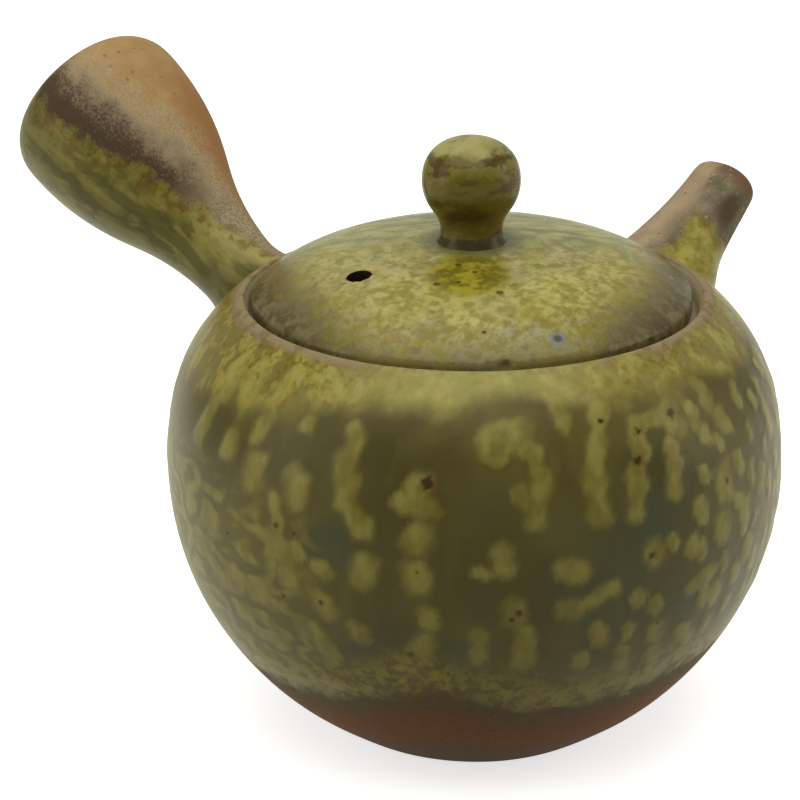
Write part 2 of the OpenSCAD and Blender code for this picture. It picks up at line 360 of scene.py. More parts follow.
# %% [markdown]
# ## The spout
# A short tube that narrows to its tip in one long hollow curve, with a small fillet of slip at its root.
# The line starts at the root on the outside, goes up to the tip, over the rounded lip and down the bore. A
# cylinder that is scaled towards its tip would have straight sides, so the line is drawn from an arc. Then
# the points near the tip and the root are pushed a little to one side, as a potter's thumb does.

# %% Spout
SPOUT_TIP, SPOUT_TIP_R, SPOUT_WALL, SPOUT_LIP_R = 78.4, 5.8, 1.9, 0.95
SPOUT_MOUTH = SPOUT_TIP - SPOUT_LIP_R
SPOUT_SWEEP = 85
SPOUT_MIDDLE = 66
ROOT_PUSH = 0.19


def spout_radius(reach, inset):
    """Radius of one side of the spout's wall at a distance along its axis."""
    return SPOUT_TIP_R - inset + SPOUT_SWEEP - sqrt(SPOUT_SWEEP ** 2 - (SPOUT_MOUTH - reach) ** 2)


spout_rise = [57.5, 60, 63, 66, 69, 72, 75, SPOUT_MOUTH]
spout_out = [(12.4, 53.3), (11.0, 53.7), (9.9, 54.5), (9.15, 55.7)]
spout_out += [(spout_radius(s, 0), s) for s in spout_rise]
spout_in = [(spout_radius(s, SPOUT_WALL), s) for s in reversed(spout_rise)]
spout_in += [(6.9, 55.2), (7.2, 53.3)]
spout_lip = bow((SPOUT_TIP_R - SPOUT_LIP_R, SPOUT_MOUTH), SPOUT_LIP_R, 40, 140, 3)
spout = throw("thrown_spout", spout_out + spout_lip + spout_in, sides=40)
low_side, tip_drop = Vector((0.5, -0.87)), Vector((-0.05, 0.087, 0.12))
for vertex in spout.data.vertices:
    along = vertex.co.z / MM
    near_tip = min(max((along - SPOUT_MIDDLE) / (SPOUT_TIP - SPOUT_MIDDLE), 0), 1) ** 2
    near_root = min(max((SPOUT_MIDDLE - along) / 6.5, 0), 1.3) ** 1.6
    aside = vertex.co.xy.dot(low_side)
    vertex.co += near_tip * max(aside + 2 * MM, 0) * tip_drop
    if vertex.co.xy.length > (7.4 if along < 56 else 6.5) * MM:
        vertex.co.xy += near_root * ROOT_PUSH * max(aside, 0) * low_side
lute(spout, spout_frame, [(*spout_out[0], 0.15), (*spout_in[-1], 0.15)], fade=9)
soften(spout)
print("spout", len(spout.data.polygons), "faces")

# %% [markdown]
# ## The handle
# The handle is a hollow cone, thin at its neck and swelling to an end that turns in to a round mouth. It is
# held with the thumb on the lid's knob. Its neck flares out where it is luted to the wall. Its side could be
# one free curve, but two arcs that touch are easy to measure, and the knob swells in the same way.

# %% Handle
HANDLE_ROOT, HANDLE_LEN, HANDLE_WALL = 54.38, 50.8, 3.0
NECK_R, END_R, END_BEND, MOUTH_LIP = 6.8, 15.5, 6.4, 1.5
NECK, END = HANDLE_ROOT + 5, HANDLE_ROOT + HANDLE_LEN - END_BEND
NECK_SHARE = 0.45


def swell(low, high, low_share, count):
    """Two tangent arcs from a narrow place to a wide one, each given as (radius, height)."""
    wider, climb = high[0] - low[0], high[1] - low[1]
    total = (climb ** 2 + wider ** 2) / (2 * wider)
    bend = np.degrees(np.arcsin(climb / total))
    low_r, high_r = low_share * total, (1 - low_share) * total
    line = bow((low[0] + low_r, low[1]), low_r, 180, 180 - bend, count)
    return line + bow((high[0] - high_r, high[1]), high_r, -bend, 0, count)[1:]


handle_out = [(11.9, 50.9), (10.6, 51.5), (9.4, 52.5), (8.3, 54.0), (7.4, 56.1)]
handle_out += swell((NECK_R, NECK), (END_R, END), NECK_SHARE, 7)
handle_end = bow((END_R - END_BEND, END), END_BEND, 15, 85, 5)
handle_end += bow((END_R - END_BEND, END + END_BEND - MOUTH_LIP), MOUTH_LIP, 105, 255, 4)
handle_end += bow((END_R - END_BEND, END), END_BEND - HANDLE_WALL, 80, 10, 3)
handle_in = swell((NECK_R - HANDLE_WALL, NECK), (END_R - HANDLE_WALL, END), NECK_SHARE, 5)[::-1]
handle_in += [(3.8, 55.0), (3.8, 52.4)]
handle = throw("thrown_handle", handle_out + handle_end + handle_in, sides=48)
lute(handle, handle_frame, [(*handle_out[0], 0.5), (*handle_in[-1], 0.15)], fade=11)
soften(handle)
print("handle", len(handle.data.polygons), "faces")

# %% [markdown]
# ## The lid
# A flat crown that turns down over a steeper shoulder to a rounded edge. Under it stands the flange that
# keeps the lid in the throat. One arc could make the whole dome, but two arcs that touch give the flat top
# and the quick turn at the edge. The steam vent is pierced through the dome from above.

# %% Lid
LID_R, LID_EDGE_R, LID_WALL = 33.9, 1.8, 3.2
CROWN_R, CROWN_REACH, DOME_R = 118, 21, 27
FLANGE_R, FLANGE_IN, FLANGE_DEEP = 30.0, 27.0, 5.95
CROWN = (0, LID_TOP - CROWN_R)
CROWN_TURN = np.degrees(np.arccos(CROWN_REACH / CROWN_R))
DOME = bow(CROWN, CROWN_R - DOME_R, CROWN_TURN, CROWN_TURN, 1)[0]
EDGE_REACH = LID_R - LID_EDGE_R
EDGE = (EDGE_REACH, DOME[1] + sqrt((DOME_R - LID_EDGE_R) ** 2 - (EDGE_REACH - DOME[0]) ** 2))
EDGE_TURN = np.degrees(np.arctan2(EDGE[1] - DOME[1], EDGE[0] - DOME[0]))
dome_top = [(0, LID_TOP)] + bow(CROWN, CROWN_R, 89, CROWN_TURN, 5)
dome_top += bow(DOME, DOME_R, CROWN_TURN, EDGE_TURN, 6)[1:]
lid_edge = bow(EDGE, LID_EDGE_R, EDGE_TURN - 14, 4, 4)
lid_edge += [(LID_R, LID_H + 0.5), (LID_R - 0.4, LID_H + 0.05), (LID_R - 1.3, LID_H)]
flange = [(FLANGE_R + 0.4, LID_H), (FLANGE_R, LID_H - 0.4), (FLANGE_R, LID_H - FLANGE_DEEP + 0.45)]
flange += [(FLANGE_R - 0.4, LID_H - FLANGE_DEEP), (FLANGE_IN + 0.4, LID_H - FLANGE_DEEP)]
flange += [(FLANGE_IN, LID_H - FLANGE_DEEP + 0.45), (FLANGE_IN, LID_H - 1.0)]
dome_under = bow(DOME, DOME_R - LID_WALL, 52, CROWN_TURN, 3)
dome_under += bow(CROWN, CROWN_R - LID_WALL, CROWN_TURN, 89, 3)[1:] + [(0, LID_TOP - LID_WALL)]
lid = throw("thrown_lid", dome_top + lid_edge + flange + dome_under, sides=80)
soften(lid)

# %% Steam vent
VENT_R, VENT_REACH, VENT_TURN = 1.9, 20.8, radians(166)
VENT = (VENT_REACH * cos(VENT_TURN), VENT_REACH * sin(VENT_TURN))
pierce(lid, middle=(*VENT, LID_H + 8), radius=VENT_R, depth=16, sides=40)
print("lid", len(lid.data.polygons), "faces")

# %% [markdown]
# ## The knob
# The knob is turned like a small pear on a short neck, and its foot spreads out on the crown of the lid. It
# could be thrown in one with the lid, but it is luted on later on the real pot, and has a finish of its own.

# %% Knob
KNOB_R, KNOB_NECK_R = 7.6, 4.75
KNOB_NECK, KNOB_BELLY, KNOB_TOP = LID_TOP + 1.6, LID_TOP + 9.5, LID_TOP + 16.2
knob_line = [(0, LID_TOP - 0.9), (5.1, LID_TOP - 0.9), (5.6, LID_TOP - 0.5)]
knob_line += [(5.3, LID_TOP + 0.1), (4.95, LID_TOP + 0.8)]
knob_line += swell((KNOB_NECK_R, KNOB_NECK), (KNOB_R, KNOB_BELLY), 0.4, 4)
knob_line += [
    (KNOB_R * cos(radians(a)) ** 0.88, KNOB_BELLY + (KNOB_TOP - KNOB_BELLY) * sin(radians(a)) ** 0.88)
    for a in (12, 24, 36, 48, 60, 72, 82)
]
knob = throw("turned_knob", knob_line + [(0, KNOB_TOP)], sides=40)
soften(knob)
print("knob", len(knob.data.polygons), "faces")

# %% [markdown]
# ## Brushing marks onto the clay
# Ash glaze melts into runs that slide down the wall. Such runs follow the surface, so they are kept on the
# piece itself, as a number at each point, and the finish reads that number. A painted image would do the
# same, but numbers on the points need no file and stay with the mesh.

# %% Brush helpers
def points_of(piece, layer="co"):
    """Places of all points of a piece in millimetres, or their normals."""
    flat = np.empty(len(piece.data.vertices) * 3, np.float32)
    piece.data.vertices.foreach_get(layer, flat)
    return flat.reshape(-1, 3).astype(float) / (MM if layer == "co" else 1)


def brush(piece, name, values):
    """Keeps one number at each point, for the glaze to read."""
    layer = piece.data.attributes.new(name, "FLOAT", "POINT")
    layer.data.foreach_set("value", np.asarray(values, np.float32))


def apart(a, b):
    """Difference of two turns in degrees, from -180 to 180."""
    return (a - b + 180) % 360 - 180


def polar(points):
    """Turn round the pot in degrees, and distance from its axis."""
    return np.degrees(np.arctan2(points[:, 1], points[:, 0])), np.hypot(points[:, 0], points[:, 1])


wall_line = np.array(wall)
wall_run = np.concatenate([[0], np.cumsum(np.hypot(*np.diff(wall_line, axis=0).T))])


def climb_of(height):
    """Distance up the wall, along its outside, from the foot."""
    return np.interp(height, wall_line[:, 1], wall_run)


def wall_reach(height):
    """Radius of the wall's outside at a height."""
    return np.interp(height, wall_line[:, 1], wall_line[:, 0])


print("the wall is", round(wall_run[-1], 1), "mm from foot to lip")

# %% [markdown]
# ## The runs of glaze
# Each run is a stroke between two places on the wall: the turn and height of its top, the turn and height
# of its end, and a half width. Noise could make them all, but it never puts a run where the eye expects
# one, so the runs on the front are placed one by one. The others are drawn by chance from a fixed seed, so
# that the pot comes out the same each time.

# %% Runs on the front
runs = [
    (176, 60.2, 176, 59, 1.6), (177, 55, 177, 52.6, 2.1), (169, 57, 169, 55.4, 1.7),
    (-173, 62.2, -173, 61.6, 1.2), (-173, 54.4, -173, 52.2, 2.0), (-162.5, 62.4, -163.5, 58, 1.2),
    (-163.5, 58.6, -162.5, 53, 1.7), (-162, 52, -159, 49, 1.5), (-177.5, 51, -176.5, 46.5, 1.1),
    (-149.5, 56, -150, 54, 1.9), (-152, 53.6, -148, 53.3, 1.6), (-149, 49.2, -150, 48, 2.0),
    (-150.5, 44, -149.5, 42, 1.9), (-148, 36.8, -148, 35.8, 1.5), (-149, 32, -151, 29.5, 1.8),
    (-153.5, 27.8, -149, 27, 1.9), (-159, 44, -159.5, 42, 1.9), (-168.5, 42.6, -166, 41.6, 1.2),
    (-175, 39.8, -173.5, 38.6, 1.6), (-167.5, 36.8, -167, 35.4, 1.7), (-161, 33, -161, 32, 1.5),
    (-172.5, 44.6, -171.5, 43, 1.0), (-170, 32, -169.5, 30.4, 1.2), (-169, 29, -167, 27, 1.5),
    (163, 65, 162.5, 62, 1.6), (160, 60, 158.5, 54.5, 1.5), (170, 65.6, 170, 64.4, 1.4),
    (-136.8, 62.0, -131.8, 62.8, 2.1), (-136.4, 59.6, -135, 59.4, 0.9), (-129.7, 61, -127.4, 56.8, 1.2),
    (-127.8, 56.2, -129.5, 51.2, 1.3), (-131.9, 55, -131.5, 54, 1.2), (-124, 68.4, -122.6, 63.4, 1.3),
    (-114.2, 65, -117.2, 60.1, 1.3), (-117.2, 59.6, -118.4, 56, 1.4), (-118.4, 55.4, -117.6, 51, 1.7),
    (-108, 61.8, -108, 58, 1.3), (-109.5, 56.4, -110.5, 50.6, 1.4), (-107, 61.8, -100, 63, 1.2),
    (-99.5, 62.4, -98.5, 60.6, 1.8), (-101, 58.6, -101, 58, 1.3), (-101.5, 56, -102, 52.2, 1.4),
    (-88.5, 64.4, -88, 62, 1.3), (-86, 60, -86, 58.4, 1.4), (-92, 58.8, -92, 58, 1.3),
    (-89, 52, -89.4, 49, 1.7), (-96, 49, -96.2, 47.6, 1.4), (-90, 44.8, -90, 43, 1.7),
    (-83, 45.6, -83, 44, 1.5), (-107.4, 44, -106.6, 42.8, 1.7), (-103, 45, -103, 44, 0.9),
    (-98, 43.6, -98, 42.4, 1.4), (-124, 43.6, -122, 43, 1.7), (-135, 46.6, -135, 44.8, 1.7),
    (-139.5, 44, -138, 43.8, 1.1), (-124, 37.2, -122, 36.8, 1.6), (-121, 37.2, -115.5, 39.2, 1.3),
    (-133, 37.8, -133, 36.4, 1.8), (-139, 33.6, -139.2, 29.4, 1.4), (-131, 34, -131, 28.6, 1.4),
    (-110, 37, -110, 36.2, 1.2), (-106, 35.2, -106, 34.4, 1.1), (-117.6, 33.2, -116.6, 31, 1.3),
    (-111, 32.4, -111, 30.6, 1.1), (-111.4, 28, -111, 25.2, 1.2), (-105, 30.4, -105, 29.2, 1.4),
    (-104.4, 26, -103.6, 23.8, 1.5), (-97, 28.6, -95, 26.4, 1.3), (-120, 28, -120, 27.2, 1.1),
    (-98, 35.6, -92, 37.6, 1.2), (-90, 34, -90, 32.6, 1.4), (-81, 38.4, -81, 36.8, 1.5),
    (-76, 48.4, -76, 46.6, 1.4), (163, 21, -178, 20.8, 1.7), (-177, 22.6, -168, 22, 1.5),
]
print(len(runs), "runs placed on the front")

# %% Runs by chance on the sides and the back
LOWEST_RUN = 26
chance = np.random.default_rng(11)
for column in np.arange(-66, 138, 8.0):
    height = chance.uniform(56, 64)
    while height > LOWEST_RUN:
        lean, length = chance.uniform(-1.5, 1.5), chance.uniform(0.5, 6)
        start = column + chance.uniform(-2.5, 2.5)
        runs.append((start, height, start + lean, height - length, chance.uniform(1.1, 2.0)))
        height -= length + chance.uniform(3.5, 9)
for column in np.arange(-95, -60, 5.5):
    height = chance.uniform(56, 62)
    while height > LOWEST_RUN:
        start, length = column + chance.uniform(-1.5, 1.5), chance.uniform(0.5, 2.2)
        runs.append((start, height, start, height - length, chance.uniform(0.8, 1.15)))
        height -= length + chance.uniform(3.5, 7)
print(len(runs), "runs in all")

# %% Brush the body
SKIN_DEEP = 1.2
RUN_SPREAD = 2.1
body_points = points_of(body)
body_turn, body_reach = polar(body_points)
body_climb = climb_of(body_points[:, 2])
outer_wall = body_reach > wall_reach(body_points[:, 2]) - SKIN_DEEP
outer_wall |= body_points[:, 2] > LIP[1]
gallery = (body_points[:, 2] > SEAT_H - 0.5) & (body_reach < RIM_R + 0.4)
outer_wall |= gallery
body_climb[gallery] = wall_run[-1] + 1.0
wobble = 0.3 * np.sin(body_points @ (0.9, 1.3, 0.7)) + 0.25 * np.sin(body_points @ (-2.1, 1.2, 1.9) + 1)


def strokes(marks):
    """How much each point of the wall lies under one of the strokes, from 0 to 1."""
    cover = np.zeros(len(body_points))
    for turn_0, high_0, turn_1, high_1, half in marks:
        across = radians(1) * apart(body_turn, turn_0) * body_reach
        along = body_climb - climb_of(high_0)
        side = radians(1) * apart(turn_1, turn_0) * wall_reach(high_0)
        fall = climb_of(high_1) - climb_of(high_0)
        share = np.clip((across * side + along * fall) / (side ** 2 + fall ** 2 + 1e-6), 0, 1)
        away = np.hypot(across - share * side, along - share * fall) + wobble
        cover = np.maximum(cover, ease(away, half * RUN_SPREAD, 0))
    return cover * outer_wall


arch = [
    (-144, 61.2), (-140.7, 63.4), (-138, 66), (-132.2, 67.4),
    (-126.8, 66), (-124.6, 62.6), (-123.6, 60), (-123.6, 56),
]
arch_dark = strokes([(*start, *end, 0.85) for start, end in zip(arch, arch[1:])])
glaze_run = strokes(runs) * (1 - 0.6 * arch_dark)
brush(body, "run", glaze_run)
brush(body, "dark", arch_dark)
print("runs over", int((glaze_run > 0.5).sum()), "of", len(body_points), "points")

# %% [markdown]
# ## Bands round the pot
# Other marks go all the way round at a changing height: the pale band on the shoulder, the bare rim, and
# the line over the foot where the glaze stops. Noise could make such a line wander, but not dip and rise at
# given places. So each one is a few turns with their heights, joined smoothly.

# %% Brush the band, the net, the rim and the glaze line
LIP_OVER = 1.2


def round_pot(turns, values):
    """Values at given turns, smoothly joined all round the pot."""
    near = np.interp(np.arange(-180, 180), turns, values, period=360)
    soft = np.array([np.roll(near, k) for k in range(-4, 5)]).mean(axis=0)
    return np.interp(body_turn, np.arange(-180, 180), soft, period=360)


band_turns = [-175, -165, -153, -143, -139, -131, -126, -118, -108, -86, -75, 0, 90, 150, 165, 178]
band_heights = [63.5, 65.1, 66.0, 66.0, 67.0, 67.6, 67.0, 65.6, 65.6, 65.4, 64.1, 64, 62, 60.5, 61, 63]
band_line = climb_of(round_pot(band_turns, band_heights))
brush(body, "band", np.where(outer_wall, body_climb - band_line, -50))
to_lip = wall_run[-1] + LIP_OVER - body_climb
brush(body, "down", np.where(outer_wall, to_lip, 100))
net_high = body_points[:, 2]
net_share = ease(abs(apart(body_turn, 158)), 44, 20) * ease(net_high, 17, 20) * ease(net_high, 58, 44)
brush(body, "net", net_share * outer_wall)
fleck_turns = [-180, -165, -152, -124, -108, -85, -40, 30, 90, 150, 170]
fleck_amounts = [0.9, 0.45, 0.12, 0.15, 0.55, 0.75, 0.7, 0.5, 0.8, 1.0, 1.0]
brush(body, "fleck", round_pot(fleck_turns, fleck_amounts))
rim_turns = [-180, -165, -145, -125, -100, -70, 0, 90, 150]
rim_widths = [2.0, 1.4, 0.8, 0.9, 1.5, 2.0, 2.6, 2.8, 2.6]
brush(body, "rim", round_pot(rim_turns, rim_widths) - to_lip)
line_turns = [-178, -165, -152, -140, -134, -127, -117, -108, -92, -78, -30, 0, 40, 90, 130, 161]
line_heights = [17.6, 20.2, 23.4, 23.0, 20.8, 20.0, 18.8, 18.9, 20.8, 19.8, 21, 19.5, 21.5, 19, 20.5, 17]
foot_line = climb_of(round_pot(line_turns, line_heights))
brush(body, "above", np.where(outer_wall, body_climb - foot_line, -9))
print("the glaze stops", foot_line.min().round(1), "to", foot_line.max().round(1), "mm up the wall")

# %% [markdown]
# ## Runs that stand proud
# A run is a little thicker than the glaze round it and catches the light. Bump alone would do from afar, but
# it leaves the outline smooth. A Displace modifier could lift the runs, and so does moving each point along
# its normal by the number that is brushed on it, which is more direct.

# %% Raise the runs
RUN_RAISE = 0.12
raised = (body_points + points_of(body, "normal") * (RUN_RAISE * glaze_run)[:, None]) * MM
raised[:, 2] = np.maximum(raised[:, 2], 0)
body.data.vertices.foreach_set("co", raised.astype(np.float32).ravel())
body.data.update()
print("the foot stands at", round(raised[:, 2].min() / MM, 3), "mm")

# %% [markdown]
# ## Where the glaze ends on the handle and the spout
# The ash fell on one side of the pot in the kiln, so the handle is glazed along one flank and bare along
# the other, and the spout has only a patch of glaze at its root. Two materials could meet along a row of
# edges, but their border would be as stiff as the mesh. So for each point the distance to the edge of the
# glaze is kept, in millimetres: above nought it is glazed, and below nought it is bare.

# %% Helpers for pieces along an axis
ABOVE_ROOT = 57.5
BARE = -14


def round_axis(piece, place, side):
    """Distance along the axis of a piece, turn round it in degrees from side, and radius."""
    local = points_of(piece) - np.array(place.translation) / MM
    along = np.array(place.to_3x3() @ Vector((0, 0, 1)))
    side = np.array(side, float)
    reach = local @ along
    radial = local - reach[:, None] * along
    turned = np.degrees(np.arctan2(radial @ np.cross(side, along), radial @ side))
    return reach, turned, np.linalg.norm(radial, axis=1)


def within(line, reach, wide):
    """Which points lie on the inner side of a wall whose outer line is given, from just above its root."""
    rows = np.array(line)
    return wide < np.interp(np.maximum(reach, ABOVE_ROOT), rows[:, 1], rows[:, 0]) - 1.0


handle_reach, handle_turned, handle_wide = round_axis(handle, handle_frame, (1, 0, 0))
spout_reach, spout_turned, spout_wide = round_axis(spout, spout_frame, (0, -1, 0))
print("handle reaches", handle_reach.max().round(1), "mm, spout", spout_reach.max().round(1), "mm")

# %% Glaze edge of the handle
LOW_TURN = 300
handle_turned = handle_turned % 360
edge_reaches = [50, 60, 65.6, 73, 80, 88, 95, 101]
edge_turn = np.interp(handle_reach, edge_reaches, [80, 92, 111, 130, 142, 154, 159, 161])
past_low = (LOW_TURN - handle_turned) / (360 - LOW_TURN) * edge_turn
handle_edge = np.minimum(handle_turned - edge_turn, LOW_TURN - handle_turned)
handle_edge = np.where(handle_turned < LOW_TURN, handle_edge, past_low)
handle_edge *= radians(1) * handle_wide
hollow = within(handle_out, handle_reach, handle_wide) & (handle_reach < END)
brush(handle, "edge", np.where(hollow, BARE, handle_edge))
brush(handle, "reach", handle_reach)
ran_turn = np.interp(handle_reach, [63.5, 68, 72, 82], [177, 169, 171, 172])
ran_cover = ease(abs(handle_turned - ran_turn) * radians(1) * handle_wide, 2.0, 0.5)
brush(handle, "ran", ran_cover * ease(handle_reach, 59, 63) * ease(handle_reach, 87, 80))
print("handle glazed at", int((handle_edge > 0).sum()), "of", len(handle_edge), "points")

# %% Glaze edge of the spout
spout_edge = (80 - abs(apart(spout_turned, -17))) * radians(1) * spout_wide
spout_edge = np.minimum(66.6 - spout_reach, spout_edge)
brush(spout, "edge", np.where(within(spout_out, spout_reach, spout_wide), BARE, spout_edge))
brush(spout, "reach", spout_reach)
brush(spout, "grey", ease(abs(apart(spout_turned, 10)), 90, 48))
scorched_place = ease(abs(apart(spout_turned, 21)), 36, 4) * ease(abs(spout_reach - 71.2), 7, 0.5)
brush(spout, "scorch", scorched_place)
print("spout glazed at", int((spout_edge > 0).sum()), "of", len(spout_edge), "points")

# %% [markdown]
# ## Marks on the lid
# The lid has thin glaze at two sides of its edge, a yellow pool in front of the knob that is darkened as
# painted shadow and reflection of the knob, a bare underside and a small chip. Their places are brushed on
# as numbers too. The vent's wall, painted dark as shade inside the hole, shares its points with the dome,
# so it is marked by face. The chip could be sculpted, but a dent of half a millimetre only needs a few
# points to move in along their normals.

# %% Marks on the lid
FRONT = radians(-142)
CHIP_TURN, CHIP_HIGH, CHIP_DEEP = -131.9, 69.8, 0.55
lid_points = points_of(lid)
lid_turn, lid_reach = polar(lid_points)
thin_turns = [0, 100, 120, 140, 165, 180, 195, 248, 255, 273, 303, 330, 350, 360]
thin_radii = [35, 33.5, 29.5, 28, 28.8, 31.5, 33.6, 33.6, 31.8, 29, 28, 30.5, 34, 35]
brush(lid, "thin", lid_reach - np.interp(lid_turn % 360, thin_turns, thin_radii))
toward = lid_points[:, :2] @ (cos(FRONT), sin(FRONT))
sideways = lid_points[:, :2] @ (-sin(FRONT), cos(FRONT))
# the pool in front of the knob, which also carries the knob's painted shadow and reflection
brush(lid, "yellow_pool_and_knob_shade", ease(np.hypot((toward - 14) / 8.5, sideways / 7.5), 1.25, 0.5))
brush(lid, "behind", ease(-toward, -8, 14))
brush(lid, "amber", ease(abs(lid_reach - 22.5), 8, 2) * ease(-toward, 12, -4))
brush(lid, "under", np.maximum(lid_points[:, 2] < LID_H + 0.2, points_of(lid, "normal")[:, 2] < -0.3))
# the vent's wall is marked so that it can be painted dark: bare clay with painted shade inside the hole
vent_layer = lid.data.attributes.new("vent", "FLOAT", "FACE")
for face in lid.data.polygons:
    in_vent = np.hypot(face.center.x / MM - VENT[0], face.center.y / MM - VENT[1]) < VENT_R + 0.05
    vent_layer.data[face.index].value = float(in_vent)
chip_place = (LID_R * cos(radians(CHIP_TURN)), LID_R * sin(radians(CHIP_TURN)), CHIP_HIGH)
from_chip = np.linalg.norm(lid_points - chip_place, axis=1)
dented = lid_points - points_of(lid, "normal") * (CHIP_DEEP * ease(from_chip, 1.6, 0.3))[:, None]
lid.data.vertices.foreach_set("co", (dented * MM).astype(np.float32).ravel())
lid.data.update()
print("lid brushed at", len(lid_points), "points")

# %% [markdown]
# ## Building a finish from nodes
# The finishes share a few steps: read a brushed number, make noise at a size in millimetres, turn a range
# into a share, and lay one colour over another by that share. In the Shader Editor each step is a node that
# is linked by hand. With hundreds of nodes that is hard to follow, so a small class keeps each to one line.
# It grows in three cells: numbers, patterns and colours.

# %% Finish steps: numbers
class Numbers:
    """A material made step by step from procedural nodes, and its steps that reckon."""

    def __init__(self, name, gloss=0.27):
        self.material = bpy.data.materials.new(name)
        self.material.use_nodes = True
        self.tree = self.material.node_tree
        self.shader = self.tree.nodes["Principled BSDF"]
        self.shader.inputs["Specular IOR Level"].default_value = gloss
        self.shader.inputs["Specular Tint"].default_value = (1.0, 0.97, 0.76, 1.0)
        self.place = self.tree.nodes.new("ShaderNodeTexCoord").outputs["Object"]

    def put(self, socket, value):
        """Links a socket to another one, or gives it a plain value."""
        if hasattr(value, "is_linked"):
            self.tree.links.new(value, socket)
        else:
            socket.default_value = value

    def read(self, name):
        """A number that was brushed on the points."""
        node = self.tree.nodes.new("ShaderNodeAttribute")
        node.attribute_name = name
        return node.outputs["Fac"]

    def sum(self, first, second, operation="ADD"):
        """Two numbers added, or joined by another operation."""
        node = self.tree.nodes.new("ShaderNodeMath")
        node.operation = operation
        self.put(node.inputs[0], first)
        self.put(node.inputs[1], second)
        return node.outputs[0]

    def times(self, first, second):
        """Two numbers multiplied."""
        return self.sum(first, second, "MULTIPLY")

    def ragged(self, value, *noises):
        """A number with one or more noises added on both sides of it, each given with its amount."""
        for noise, amount in noises:
            value = self.sum(value, self.times(self.sum(noise, -0.5), amount))
        return value

    def share(self, value, low, high):
        """0 at low and 1 at high, smooth between."""
        node = self.tree.nodes.new("ShaderNodeMapRange")
        node.interpolation_type = "SMOOTHSTEP"
        self.put(node.inputs["Value"], value)
        node.inputs["From Min"].default_value = low
        node.inputs["From Max"].default_value = high
        return node.outputs["Result"]

    def vary(self, share, low, high):
        """A number from low to high, by a share."""
        node = self.tree.nodes.new("ShaderNodeMapRange")
        self.put(node.inputs["Value"], share)
        node.inputs["To Min"].default_value = low
        node.inputs["To Max"].default_value = high
        return node.outputs["Result"]


print("steps that reckon:", [name for name in vars(Numbers) if name[0] != "_"])

# %% [markdown]
# ## Patterns in a glaze
# A fired glaze is never one even tone: it is cloudy, streaked or spotted. An image could hold the pattern,
# but Noise and Voronoi nodes on Object coordinates need no file and have no seam. Their sizes are given in
# millimetres, as they would be measured on the pot.

# %% Finish steps: patterns
class Patterns(Numbers):
    """The steps that make noise and spots."""

    def moved(self, long, turned, shift):
        """Object coordinates, turned and stretched, so that a pattern runs along a direction."""
        node = self.tree.nodes.new("ShaderNodeMapping")
        node.vector_type = "TEXTURE"
        self.put(node.inputs["Vector"], self.place)
        node.inputs["Scale"].default_value = long
        node.inputs["Rotation"].default_value = turned
        node.inputs["Location"].default_value = shift
        return node.outputs["Vector"]

    def noise(self, size, detail=2.0, long=(1, 1, 1), turned=(0, 0, 0), shift=(0, 0, 0), twist=0.0):
        """Cloudy noise whose lumps are about size millimetres wide."""
        node = self.tree.nodes.new("ShaderNodeTexNoise")
        self.put(node.inputs["Vector"], self.moved(long, turned, shift))
        node.inputs["Scale"].default_value = 1000 / size
        node.inputs["Detail"].default_value = detail
        node.inputs["Distortion"].default_value = twist
        return node.outputs["Fac"]

    def spots(self, pitch, shift=(0, 0, 0)):
        """Distance to the nearest of scattered spots, as a share of their pitch."""
        node = self.tree.nodes.new("ShaderNodeTexVoronoi")
        self.put(node.inputs["Vector"], self.moved((1, 1, 1), (0, 0, 0), shift))
        node.inputs["Scale"].default_value = 1000 / pitch
        return node.outputs["Distance"]

    def spot_at(self, place, radius, noise=0.5):
        """A spot at a place in millimetres: 1 in its middle, 0 outside. Noise in place of 0.5 roughens it."""
        node = self.tree.nodes.new("ShaderNodeVectorMath")
        node.operation = "DISTANCE"
        self.put(node.inputs[0], self.place)
        node.inputs[1].default_value = tuple(v * MM for v in place)
        away = self.ragged(self.times(node.outputs["Value"], 1000.0), (noise, radius * 1.6))
        return self.share(away, radius, radius * 0.4)

    def height(self):
        """Height over the table in millimetres."""
        node = self.tree.nodes.new("ShaderNodeSeparateXYZ")
        self.put(node.inputs[0], self.place)
        return self.times(node.outputs["Z"], 1000.0)


print("steps that make patterns:", [name for name in vars(Patterns) if name[0] != "_"])

# %% [markdown]
# ## Colours in layers
# A potter lays one glaze over another, and so do these steps: a Mix node shows one colour over the next by a
# share. A Color Ramp could hold several tones at once, but layers can be changed one at a time. Colours are
# written as on a screen and turned into linear ones, as a shader wants them. The last step joins the colour,
# the roughness and a fine relief to the shader.

# %% Finish steps: colours
def shade(code):
    """A written colour such as 8c785f as linear red, green, blue and alpha."""
    parts = [int(code[i:i + 2], 16) / 255 for i in (0, 2, 4)]
    return tuple(p / 12.92 if p <= 0.04045 else ((p + 0.055) / 1.055) ** 2.4 for p in parts) + (1.0,)


class Finish(Patterns):
    """The steps that lay colours and close the material."""

    def lay(self, share, under, over):
        """One colour over another, by a share."""
        node = self.tree.nodes.new("ShaderNodeMix")
        node.data_type = "RGBA"
        self.put(node.inputs["Factor"], share)
        self.put(node.inputs["A"], shade(under) if isinstance(under, str) else under)
        self.put(node.inputs["B"], shade(over) if isinstance(over, str) else over)
        return node.outputs["Result"]

    def over(self, under, share, amount, colour):
        """A colour over another, by a share of a given amount."""
        return self.lay(self.times(share, amount), under, colour)

    def close(self, colour, roughness, relief, depth):
        """Joins colour, roughness and relief, in millimetres, to the shader."""
        self.put(self.shader.inputs["Base Color"], colour)
        self.put(self.shader.inputs["Roughness"], roughness)
        bump = self.tree.nodes.new("ShaderNodeBump")
        bump.inputs["Strength"].default_value = 1.0
        bump.inputs["Distance"].default_value = depth * MM
        self.put(bump.inputs["Height"], relief)
        self.put(self.shader.inputs["Normal"], bump.outputs["Normal"])
        print(self.material.name, "has", len(self.tree.nodes), "nodes")
        return self.material


print("steps that lay colours:", [name for name in vars(Finish) if name[0] != "_"])

